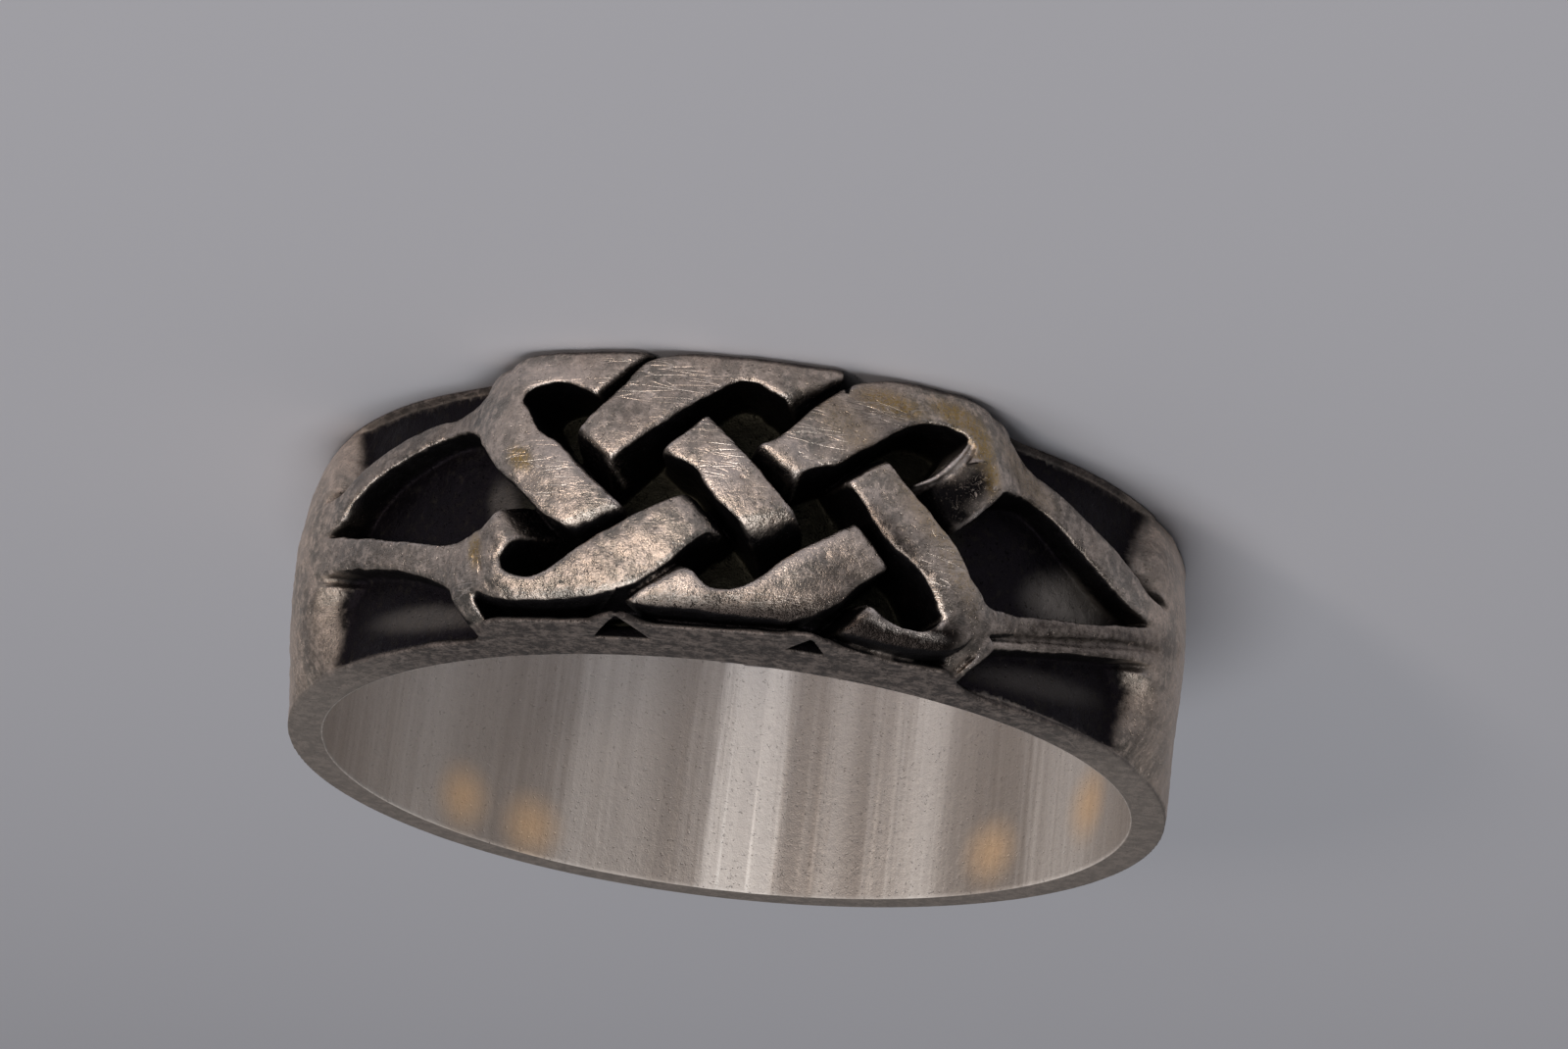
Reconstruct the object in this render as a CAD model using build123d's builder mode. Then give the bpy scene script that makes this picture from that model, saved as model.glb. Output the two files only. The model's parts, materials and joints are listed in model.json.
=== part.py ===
from build123d import *
import math
import os

os.makedirs("parts", exist_ok=True)

# Driving sizes in millimetres. The ring lies on its side: +Z is the bore axis and z = 0 the rim it rests on.
# The origin is on the bore axis in that rim's plane, and the middle of the knot faces -Y.
bore_radius = 9.5
band_width = 6.1

# Thickness of the metal over the bore, at each zone of the band.
floor_thickness = 0.8
shoulder_thickness = 1.65
shank_thickness = 0.85
shank_edge_thickness = 0.8
shoulder_rim_thickness = 0.95
knot_thickness = 2.95
knot_rim_thickness = 2.05
strand_root_thickness = 0.4

# Outer forms.
crown_radius = 9.0
rim_wall = 0.22

# Lengths along the band, from the middle of the knot, measured on a circle this high over the bore.
length_circle_height = 2.5
knot_half_length = 5.2
knot_rim_half_length = 4.9
knot_rim_end = 5.9
shoulder_start = 4.6
shoulder_end = 7.8
window_tip = 11.75
shank_start = 12.6
taper_end = 17.8

# Sections of a shoulder's taper, less one.
taper_steps = 4

# The strands.
knot_edge_margin = 0.45
strand_width = 1.2
strut_width = 0.75

# Shares of a strand's half width: half the flat along its ridge, and the drop from there to its edges.
ridge_flat = 0.35
edge_drop = 0.12

# The small three-cornered notches in both rims.
notch_width = 1.1
notch_height = 0.65
notch_depth = 0.4
notch_sill = 1.6
notch_lip = 0.15

# Worked-out values.
mid_height = band_width / 2
knot_half_width = mid_height - knot_edge_margin
strand_circle = bore_radius + length_circle_height
floor_radius = bore_radius + floor_thickness
root_radius = bore_radius + strand_root_thickness
shoulder_radius = bore_radius + shoulder_thickness
shank_radius = bore_radius + shank_thickness
shank_edge_radius = bore_radius + shank_edge_thickness
shoulder_rim_radius = bore_radius + shoulder_rim_thickness
knot_radius = bore_radius + knot_thickness
knot_rim_radius = bore_radius + knot_rim_thickness
notch_sill_radius = bore_radius + notch_sill
notch_tip_radius = notch_sill_radius + notch_height
lip_radius = notch_tip_radius + notch_lip
lip_width = notch_width * (lip_radius - notch_sill_radius) / notch_height


def turn_of(along):
    """Angle in degrees round the bore of a length along the band."""
    return math.degrees(along / strand_circle)


def crest(along):
    """Radius of the band's highest line: high over the knot, with a soft step down to the shoulders."""
    share = (abs(along) - shoulder_start) / (shoulder_end - shoulder_start)
    share = min(1, max(0, share))
    blend = (1 - math.cos(math.pi * share)) / 2
    return knot_radius + (shoulder_radius - knot_radius) * blend


def top_radius(along, across, lift):
    """Radius of a strand's top: lift 1 is the crowned outer surface and 0 the recess floor."""
    crowned = crest(along) - across**2 / (2 * crown_radius)
    return floor_radius + (crowned - floor_radius) * lift


def section_plane(along, across, step_along, step_across):
    """Plane across a strand: its x runs over the strand's width and its y points away from the bore."""
    angle = along / strand_circle
    outward = Vector(-math.sin(angle), -math.cos(angle), 0)
    round_band = Vector(-math.cos(angle), math.sin(angle), 0)
    onward = (round_band * step_along + Vector(0, 0, step_across)).normalized()
    sideways = outward.cross(onward).normalized()
    origin = outward * strand_circle + Vector(0, 0, mid_height + across)
    return Plane(origin=origin, x_dir=sideways, z_dir=onward)


def strand(rows, length, half_width, width, turn=1, flip=1):
    """A strand lofted through sections that stand on the sleeve and have a low ridge along their middle.

    Each row has shares: place along the band of length, place across it of half_width, width of width, and
    lift. turn = -1 gives the copy turned half round the middle of the knot, and flip = -1 the copy mirrored
    across the band.
    """
    places = [(turn * row[0] * length, turn * flip * row[1] * half_width) for row in rows]
    with BuildPart() as piece:
        for index, (along, across) in enumerate(places):
            before = places[max(0, index - 1)]
            after = places[min(len(places) - 1, index + 1)]
            wide = rows[index][2] * width / 2
            lift = rows[index][3]
            top = top_radius(along, across, lift) - strand_circle
            edge = top - edge_drop * wide
            flat = ridge_flat * wide
            root = root_radius - strand_circle
            plane = section_plane(along, across, after[0] - before[0], after[1] - before[1])
            with BuildSketch(plane):
                Polygon((-wide, root), (wide, root), (wide, edge), (flat, top), (-flat, top), (-wide, edge),
                        align=None)
        loft(ruled=True)
    return piece.part


def radial_plane(along):
    """Plane through the bore axis at a place along the band: its x points outwards and its y up."""
    angle = math.radians(-90 - turn_of(along))
    return Plane(origin=(0, 0, 0), x_dir=(math.cos(angle), math.sin(angle), 0),
                 z_dir=(math.sin(angle), -math.cos(angle), 0))


def on_rim(along, radius):
    """Point of a rim's face at a place along the band."""
    angle = math.radians(-90 - turn_of(along))
    return (radius * math.cos(angle), radius * math.sin(angle))


def rim_triangle(along, sill, tip, width):
    """Triangle on a rim's face, its foot on the circle of radius sill and its tip on that of radius tip."""
    return [on_rim(along - width / 2, sill), on_rim(along, tip), on_rim(along + width / 2, sill)]


def shank_section(along, radius):
    """Section of the shank, with a crowned outside of that radius at its middle."""
    with BuildSketch(radial_plane(along)) as section:
        with BuildLine():
            Line((shank_edge_radius, 0), (root_radius, 0))
            Line((root_radius, 0), (root_radius, band_width))
            Line((root_radius, band_width), (shank_edge_radius, band_width))
            ThreePointArc((shank_edge_radius, band_width), (radius, mid_height), (shank_edge_radius, 0))
        make_face()
    return section.sketch


# Strand that runs along the far edge from one corner, dives under the first bar, crosses the middle on top
# and dives again: the second half is the first turned half round.
# Columns: along, across, width, lift.
middle_strand_half = [
    (-1.00, -0.78, 0.85, 0.97),
    (-0.90, -0.94, 0.68, 1.00),
    (-0.75, -0.98, 0.62, 1.00),
    (-0.61, -0.93, 0.70, 0.90),
    (-0.49, -0.82, 0.85, 0.60),
    (-0.36, -0.66, 0.92, 0.50),
    (-0.26, -0.50, 0.95, 0.55),
    (-0.20, -0.39, 0.96, 0.96),
    (-0.10, -0.20, 1.00, 1.00),
]
middle_strand = middle_strand_half + [(-a, -b, w, lift) for a, b, w, lift in reversed(middle_strand_half)]

# Strand that crosses the middle underneath, between the two long bars it forms itself.
cross_strand_half = [
    (-1.00, 0.81, 0.85, 0.97),
    (-0.92, 0.93, 0.70, 1.00),
    (-0.80, 0.97, 0.58, 1.00),
    (-0.67, 0.92, 0.78, 1.00),
    (-0.53, 0.79, 0.95, 1.00),
    (-0.40, 0.61, 1.05, 1.00),
    (-0.27, 0.43, 1.02, 1.00),
    (-0.16, 0.30, 0.92, 0.97),
    (-0.10, 0.19, 0.85, 0.60),
]
cross_strand = cross_strand_half + [(-a, -b, w, lift) for a, b, w, lift in reversed(cross_strand_half)]

# Strand of the middle bump, made twice, the second one turned half round.
bump_strand = [
    (-1.03, 0.72, 0.90, 0.97),
    (-0.93, 0.47, 0.80, 0.90),
    (-0.85, 0.29, 0.85, 0.60),
    (-0.75, 0.10, 0.90, 0.50),
    (-0.66, -0.10, 0.98, 0.60),
    (-0.60, -0.23, 1.02, 0.97),
    (-0.48, -0.46, 1.06, 1.00),
    (-0.36, -0.69, 1.02, 1.00),
    (-0.23, -0.88, 0.90, 1.00),
    (-0.10, -0.99, 0.70, 1.00),
    (0.03, -1.02, 0.60, 1.00),
    (0.14, -0.98, 0.65, 0.92),
    (0.25, -0.86, 0.78, 0.62),
    (0.36, -0.62, 0.85, 0.50),
    (0.46, -0.40, 0.92, 0.60),
    (0.53, -0.27, 0.94, 0.97),
    (0.64, -0.05, 0.96, 1.00),
    (0.77, 0.18, 0.92, 1.00),
    (0.89, 0.41, 0.88, 1.00),
    (0.99, 0.63, 0.88, 0.97),
    (1.02, 0.76, 0.85, 0.97),
]

# Strut from a corner of the knot to the tip of the shoulder's window. Along is a share of window_tip here,
# and width a share of strut_width.
strut = [
    (-0.43, -0.76, 1.35, 0.97),
    (-0.52, -0.68, 1.45, 0.97),
    (-0.60, -0.57, 1.25, 1.00),
    (-0.70, -0.45, 1.00, 1.00),
    (-0.85, -0.26, 0.85, 1.00),
    (-1.00, -0.11, 0.80, 1.00),
    (-1.12, -0.05, 0.80, 0.97),
]

# Web that joins a corner of the knot to the rim beside it. Across is a share of mid_height here.
web = [
    (-0.99, -0.65, 0.60, 0.96),
    (-1.03, -0.81, 0.55, 0.92),
    (-1.05, -0.95, 0.50, 0.86),
]

# Places of the notches: along the band as shares of knot_half_length, and the side, 1 for the upper rim.
notches = [(-0.43, 1), (0.36, 1), (0.43, -1), (-0.36, -1)]

strands = [
    strand(middle_strand, knot_half_length, knot_half_width, strand_width),
    strand(cross_strand, knot_half_length, knot_half_width, strand_width),
]
for turn in (1, -1):
    strands.append(strand(bump_strand, knot_half_length, knot_half_width, strand_width, turn))
    for flip in (1, -1):
        strands.append(strand(strut, window_tip, knot_half_width, strut_width, turn, flip))
        strands.append(strand(web, knot_half_length, mid_height, strand_width, turn, flip))

with BuildPart() as knot_ring:
    # Inner sleeve, whose outside is the floor of every recess.
    with BuildSketch(radial_plane(0)):
        with Locations((bore_radius, 0)):
            Rectangle(floor_thickness, band_width, align=(Align.MIN, Align.MIN))
    revolve(axis=Axis.Z)
    # Thin plain shank round the back.
    revolve(shank_section(-taper_end, shank_radius), axis=Axis.Z,
            revolution_arc=360 - 2 * turn_of(taper_end))
    # Shoulders that taper from the windows' tips down to the shank.
    for turn in (1, -1):
        sections = []
        for step in range(taper_steps + 1):
            share = step / taper_steps
            along = shank_start + (taper_end - shank_start) * share
            radius = shank_radius + (shoulder_radius - shank_radius) * (1 + math.cos(math.pi * share)) / 2
            sections.append(shank_section(turn * along, radius))
        loft(sections)
    # Rims: low beside the shoulders, high beside the knot, with sloping ends.
    for height in (0, band_width - rim_wall):
        with BuildSketch(Plane.XY.offset(height)):
            with BuildLine():
                ThreePointArc(on_rim(-shank_start, shoulder_rim_radius), on_rim(0, shoulder_rim_radius),
                              on_rim(shank_start, shoulder_rim_radius))
                Polyline(on_rim(shank_start, shoulder_rim_radius), (0, 0),
                         on_rim(-shank_start, shoulder_rim_radius))
            make_face()
            with BuildLine():
                ThreePointArc(on_rim(-knot_rim_half_length, knot_rim_radius), on_rim(0, knot_rim_radius),
                              on_rim(knot_rim_half_length, knot_rim_radius))
                Polyline(on_rim(knot_rim_half_length, knot_rim_radius),
                         on_rim(knot_rim_end, shoulder_rim_radius), (0, 0),
                         on_rim(-knot_rim_end, shoulder_rim_radius),
                         on_rim(-knot_rim_half_length, knot_rim_radius))
            make_face()
        extrude(amount=rim_wall)
    # The knot, its struts and the webs that join its corners to the rims.
    for piece in strands:
        add(piece)
    # Each notch has a lip raised round its tip, and goes through the rim's wall.
    for along_share, side in notches:
        along = along_share * knot_half_length
        foot = band_width if side > 0 else 0
        with BuildSketch(Plane.XY.offset(foot)):
            Polygon(*rim_triangle(along, notch_sill_radius, lip_radius, lip_width), align=None)
        extrude(amount=-side * rim_wall)
        with BuildSketch(Plane.XY.offset(foot)):
            Polygon(*rim_triangle(along, notch_sill_radius, notch_tip_radius, notch_width), align=None)
        extrude(amount=-side * notch_depth, mode=Mode.SUBTRACT)
    Cylinder(bore_radius, band_width, align=(Align.CENTER, Align.CENTER, Align.MIN), mode=Mode.SUBTRACT)

knot_ring.part.label = "knot_ring"
export_step(knot_ring.part, "parts/knot_ring.step")
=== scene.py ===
import json
import math

import bmesh
import bpy
import numpy as np
from mathutils import Matrix, Vector
from mathutils.bvhtree import BVHTree


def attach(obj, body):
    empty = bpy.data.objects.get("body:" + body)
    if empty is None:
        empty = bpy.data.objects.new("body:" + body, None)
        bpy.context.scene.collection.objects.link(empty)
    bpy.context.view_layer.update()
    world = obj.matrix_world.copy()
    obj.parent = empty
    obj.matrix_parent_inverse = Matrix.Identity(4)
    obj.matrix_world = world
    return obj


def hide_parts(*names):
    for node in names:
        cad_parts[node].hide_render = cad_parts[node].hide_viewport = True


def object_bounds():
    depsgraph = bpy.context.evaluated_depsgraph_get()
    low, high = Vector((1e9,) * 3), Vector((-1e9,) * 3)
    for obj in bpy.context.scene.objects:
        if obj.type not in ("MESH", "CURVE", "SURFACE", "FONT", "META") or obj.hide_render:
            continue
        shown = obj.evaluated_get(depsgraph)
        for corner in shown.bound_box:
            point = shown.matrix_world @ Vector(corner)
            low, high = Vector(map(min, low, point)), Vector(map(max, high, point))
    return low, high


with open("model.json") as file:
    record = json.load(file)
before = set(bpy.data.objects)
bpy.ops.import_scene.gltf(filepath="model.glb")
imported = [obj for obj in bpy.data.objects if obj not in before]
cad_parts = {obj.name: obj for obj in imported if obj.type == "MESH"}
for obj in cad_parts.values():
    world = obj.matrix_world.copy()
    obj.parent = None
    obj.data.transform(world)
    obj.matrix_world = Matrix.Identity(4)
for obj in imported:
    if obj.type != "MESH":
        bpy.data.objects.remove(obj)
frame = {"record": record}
cad_low, cad_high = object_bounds()

# The ring is modelled in millimetres: first laid out flat, then bent round its bore and brought to metres.
# Flat, every place is (along, across, height). Along runs round the band from the middle of the knot and is
# measured on the length circle, across runs over the band towards the upper rim, and height is the thickness
# over the bore.
MM = 0.001
record = frame["record"]
bore_radius = next(m["dims"]["r_mm"] for m in record["mounts"] if m["name"] == "finger_bore")
band_width = (cad_high.z - cad_low.z) / MM
half_band = band_width / 2
length_circle = bore_radius + 2.5
half_round = math.pi * length_circle

# Thickness over the bore at each zone.
floor_height = 0.8
knot_height = 2.95
shoulder_height = 1.65
shank_height = 0.85
shank_edge_height = 0.81
foot_height = 0.35
crown_radius = 9.0
worn_from = 2.25
worn_round = 0.42

# Lengths along the band.
shoulder_start = 4.6
shoulder_end = 7.8
shank_start = 12.6
taper_end = 17.8
field_run_out = 1.3

# Height that the bore stays below and the outside above.
outside_from = 0.4

# Fineness of the fused casting.
voxel = 0.042
triangles_kept = 180000


def crowned(along, across):
    """Height of the smooth crowned surface that the relief is cut into: high over the knot, with a soft step
    down to the shoulders, and worn round beside the near rim. It takes one place or many."""
    share = np.clip((np.abs(along) - shoulder_start) / (shoulder_end - shoulder_start), 0, 1)
    crest = knot_height + (shoulder_height - knot_height) * (1 - np.cos(np.pi * share)) / 2
    worn = np.maximum(0, (across - worn_from) / (half_band - worn_from))
    return crest - across**2 / (2 * crown_radius) - worn_round * worn**2


def between(rows, place):
    """Row at a place along a table, 0 at its first row and 1 at its last, on a smooth curve through them."""
    last = len(rows) - 1
    index = min(int(place * last), last - 1)
    part = place * last - index
    before = rows[max(0, index - 1)]
    start = rows[index]
    end = rows[index + 1]
    after = rows[min(last, index + 2)]
    found = []
    for a, b, c, d in zip(before, start, end, after):
        found.append(b + 0.5 * part * (c - a + part * (2 * a - 5 * b + 4 * c - d
                                                       + part * (3 * (b - c) + d - a))))
    return found


def raised(name, columns, rows, place, foot=foot_height):
    """A raised form: a grid laid over the band by place(s, t), with s and t from 0 to 1, and walled down to
    its foot."""
    bpy.ops.object.select_all(action="DESELECT")
    bpy.ops.mesh.primitive_grid_add(x_subdivisions=columns, y_subdivisions=rows, size=1)
    form = bpy.context.object
    form.name = name
    bpy.ops.object.mode_set(mode="EDIT")
    bpy.ops.mesh.select_all(action="SELECT")
    bpy.ops.mesh.extrude_region_move(TRANSFORM_OT_translate={"value": (0, 0, 1)})
    mesh = bmesh.from_edit_mesh(form.data)
    for vertex in mesh.verts:
        along, across, height = place(vertex.co.x + 0.5, vertex.co.y + 0.5)
        if vertex.co.z < 0.5:
            height = foot
        vertex.co = (-along, across, height - length_circle + bore_radius)
    bpy.ops.mesh.select_all(action="SELECT")
    bpy.ops.mesh.normals_make_consistent(inside=False)
    bpy.ops.object.mode_set(mode="OBJECT")
    return form


# Section of a strand, from its middle out to one side: share of the half width, and drop in millimetres.
STRAND_SECTION = [(0, 0), (0.50, 0.004), (0.78, 0.016), (0.90, 0.04), (0.97, 0.09), (1.0, 0.16), (1.02, 0.5)]


def strand(name, rows, section=STRAND_SECTION, steps=5):
    """A strand through its rows, each one side's along and across, the other side's, and the lift: 1 at the
    crowned surface and 0 on the recess floor."""
    shares = [(-share, drop) for share, drop in reversed(section[1:])] + section
    last = len(shares) - 1

    def place(s, t):
        one_along, one_across, other_along, other_across, lift = between(rows, s)
        share, drop = shares[round(t * last)]
        other = (1 + share) / 2
        along = one_along + (other_along - one_along) * other
        across = one_across + (other_across - one_across) * other
        height = floor_height + (crowned(along, across) - floor_height) * min(lift, 1) - drop
        return along, across, height

    return raised(name, (len(rows) - 1) * steps, last, place)


# Runs along the far edge, under the first bar, over the middle, under the second and out along the near edge.
MIDDLE_STRAND = [
    (-5.9, -1.95, -4.95, -1.40, 0.98),
    (-5.65, -2.45, -4.80, -1.75, 1.00),
    (-5.25, -2.84, -4.68, -2.00, 1.00),
    (-4.65, -2.97, -4.35, -2.14, 1.00),
    (-3.9, -3.00, -3.95, -2.17, 1.00),
    (-3.0, -3.01, -3.50, -2.03, 1.00),
    (-2.22, -3.00, -3.16, -1.88, 0.98),
    (-2.08, -2.88, -2.98, -1.72, 0.62),
    (-1.95, -2.50, -2.75, -1.45, 0.10),
    (-1.60, -2.00, -2.20, -0.95, 0.10),
    (-1.05, -1.72, -1.80, -0.80, 0.10),
    (-0.72, -1.50, -1.55, -0.62, 0.94),
    (-0.42, -1.22, -1.25, -0.42, 1.00),
    (-0.08, -0.90, -0.88, -0.25, 1.00),
    (0.26, -0.60, -0.56, 0.12, 1.00),
    (0.60, -0.26, -0.32, 0.42, 1.00),
    (1.02, 0.18, -0.02, 0.66, 1.00),
    (1.30, 0.48, 0.20, 0.85, 0.97),
    (1.55, 0.72, 0.50, 1.15, 0.72),
    (1.80, 1.00, 0.85, 1.50, 0.10),
    (2.20, 1.45, 1.40, 2.05, 0.10),
    (2.85, 1.80, 2.25, 2.60, 0.10),
    (3.12, 2.14, 2.60, 2.78, 0.96),
    (3.53, 2.36, 3.20, 2.86, 1.00),
    (4.00, 2.46, 3.90, 2.88, 1.00),
    (4.40, 2.43, 4.50, 2.84, 1.00),
    (4.68, 2.20, 5.10, 2.72, 1.00),
    (4.80, 1.90, 5.50, 2.45, 1.00),
    (4.95, 1.45, 5.85, 2.00, 0.98),
]

# From the near corner over the long near bar, under the middle, and over the far bar to the other corner.
CROSS_STRAND = [
    (-5.00, 1.45, -5.90, 1.95, 0.98),
    (-4.86, 1.78, -5.60, 2.35, 1.00),
    (-4.75, 2.02, -5.15, 2.58, 1.00),
    (-4.50, 2.14, -4.65, 2.68, 1.00),
    (-4.15, 2.20, -4.15, 2.70, 1.00),
    (-3.80, 2.08, -3.60, 2.70, 1.00),
    (-3.49, 1.88, -3.10, 2.66, 1.00),
    (-3.12, 1.60, -2.60, 2.58, 1.00),
    (-2.72, 1.30, -2.08, 2.44, 1.00),
    (-2.28, 1.03, -1.57, 2.18, 1.00),
    (-1.90, 0.79, -1.19, 1.88, 1.00),
    (-1.50, 0.58, -0.81, 1.48, 1.00),
    (-1.12, 0.37, -0.45, 1.17, 0.97),
    (-0.90, 0.26, -0.16, 1.00, 0.80),
    (-0.65, 0.08, 0.10, 0.75, 0.10),
    (-0.35, -0.15, 0.40, 0.50, 0.10),
    (0.00, -0.45, 0.75, 0.18, 0.10),
    (0.25, -0.72, 1.02, 0.00, 0.62),
    (0.40, -0.90, 1.30, -0.30, 0.95),
    (0.62, -1.02, 1.50, -0.45, 1.00),
    (0.90, -1.25, 1.82, -0.60, 1.00),
    (1.18, -1.57, 2.17, -0.78, 1.00),
    (1.46, -1.95, 2.55, -1.12, 1.00),
    (1.85, -2.35, 2.95, -1.44, 1.00),
    (2.30, -2.74, 3.26, -1.71, 1.00),
    (2.80, -2.92, 3.58, -1.93, 1.00),
    (3.50, -3.00, 3.86, -2.08, 1.00),
    (4.25, -3.01, 4.25, -2.12, 1.00),
    (5.00, -2.99, 4.66, -2.06, 1.00),
    (5.65, -2.80, 4.96, -1.92, 1.00),
    (6.10, -2.40, 5.02, -1.70, 1.00),
    (6.30, -1.90, 4.92, -1.40, 0.98),
]

# From the near corner under the shoulder bar, up over the far edge and down over the other shoulder bar.
FAR_BUMP_STRAND = [
    (-6.00, 1.35, -5.20, 2.10, 0.98),
    (-5.60, 1.16, -4.90, 1.85, 1.00),
    (-5.30, 0.98, -4.72, 1.62, 1.00),
    (-5.02, 0.74, -4.52, 1.42, 0.95),
    (-4.74, 0.52, -4.20, 1.27, 0.74),
    (-4.50, 0.33, -3.92, 1.05, 0.40),
    (-4.20, 0.05, -3.60, 0.75, 0.10),
    (-3.85, -0.45, -3.05, 0.25, 0.10),
    (-3.80, -0.62, -2.96, 0.04, 0.10),
    (-3.64, -0.80, -2.82, -0.12, 0.52),
    (-3.42, -1.02, -2.60, -0.34, 0.95),
    (-3.28, -1.24, -2.42, -0.50, 1.00),
    (-3.10, -1.50, -2.10, -0.80, 1.00),
    (-2.86, -1.80, -1.80, -1.07, 1.00),
    (-2.60, -2.12, -1.45, -1.37, 1.00),
    (-2.40, -2.48, -1.12, -1.66, 1.00),
    (-2.10, -2.78, -0.80, -1.93, 1.00),
    (-1.60, -2.96, -0.48, -2.17, 1.00),
    (-1.00, -3.01, -0.22, -2.34, 1.00),
    (-0.20, -3.02, 0.02, -2.40, 1.00),
    (0.60, -3.01, 0.30, -2.36, 1.00),
    (1.50, -3.01, 0.52, -2.22, 1.00),
    (2.32, -3.00, 0.82, -2.08, 0.97),
    (2.46, -2.88, 1.10, -1.84, 0.72),
    (2.50, -2.40, 1.35, -1.52, 0.10),
    (2.60, -1.90, 1.70, -1.10, 0.10),
    (2.85, -1.45, 2.05, -0.65, 0.10),
    (3.12, -1.03, 2.28, -0.36, 0.95),
    (3.40, -0.70, 2.50, -0.14, 1.00),
    (3.88, -0.28, 2.74, 0.16, 1.00),
    (4.35, 0.18, 3.05, 0.57, 1.00),
    (4.60, 0.40, 3.35, 0.84, 1.00),
    (4.86, 0.66, 3.75, 1.09, 1.00),
    (5.14, 1.00, 4.10, 1.32, 1.00),
    (5.40, 1.32, 4.38, 1.65, 1.00),
    (5.65, 1.60, 4.58, 1.95, 1.00),
    (6.00, 1.95, 4.85, 2.30, 0.98),
]

# Its partner, from the far corner under that bar, over the near edge and up over the first shoulder bar.
NEAR_BUMP_STRAND = [
    (6.25, -1.45, 5.20, -2.05, 0.98),
    (6.10, -1.08, 4.98, -1.78, 0.95),
    (5.66, -0.66, 4.76, -1.45, 0.84),
    (5.26, -0.26, 4.50, -1.12, 0.73),
    (4.90, 0.06, 4.20, -0.82, 0.63),
    (4.62, 0.32, 3.90, -0.60, 0.10),
    (4.20, 0.68, 3.45, -0.10, 0.10),
    (3.75, 1.00, 3.00, 0.25, 0.10),
    (3.52, 1.20, 2.76, 0.42, 0.62),
    (3.36, 1.34, 2.57, 0.52, 0.95),
    (3.10, 1.60, 2.32, 0.71, 1.00),
    (2.80, 1.88, 1.94, 0.98, 1.00),
    (2.55, 2.18, 1.57, 1.23, 1.00),
    (2.25, 2.46, 1.20, 1.51, 1.00),
    (1.90, 2.68, 0.92, 1.80, 1.00),
    (1.45, 2.76, 0.64, 2.02, 1.00),
    (0.90, 2.78, 0.36, 2.19, 1.00),
    (0.20, 2.78, 0.06, 2.27, 1.00),
    (-0.50, 2.77, -0.25, 2.25, 1.00),
    (-1.10, 2.76, -0.44, 2.10, 1.00),
    (-1.62, 2.73, -0.62, 1.95, 1.00),
    (-2.05, 2.66, -0.80, 1.86, 0.96),
    (-2.18, 2.58, -1.08, 1.70, 0.72),
    (-2.38, 2.30, -1.40, 1.50, 0.10),
    (-2.60, 1.90, -1.75, 1.15, 0.10),
    (-2.95, 1.50, -2.00, 0.90, 0.10),
    (-3.25, 1.25, -2.12, 0.78, 0.80),
    (-3.55, 1.10, -2.32, 0.58, 0.99),
    (-3.98, 0.88, -2.62, 0.34, 1.00),
    (-4.35, 0.52, -3.02, 0.04, 1.00),
    (-4.73, 0.17, -3.50, -0.45, 1.00),
    (-5.15, -0.22, -3.85, -0.78, 1.00),
    (-5.60, -0.68, -4.28, -1.08, 1.00),
    (-5.95, -1.08, -4.72, -1.70, 1.00),
    (-6.20, -1.35, -5.20, -2.00, 0.98),
]

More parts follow.
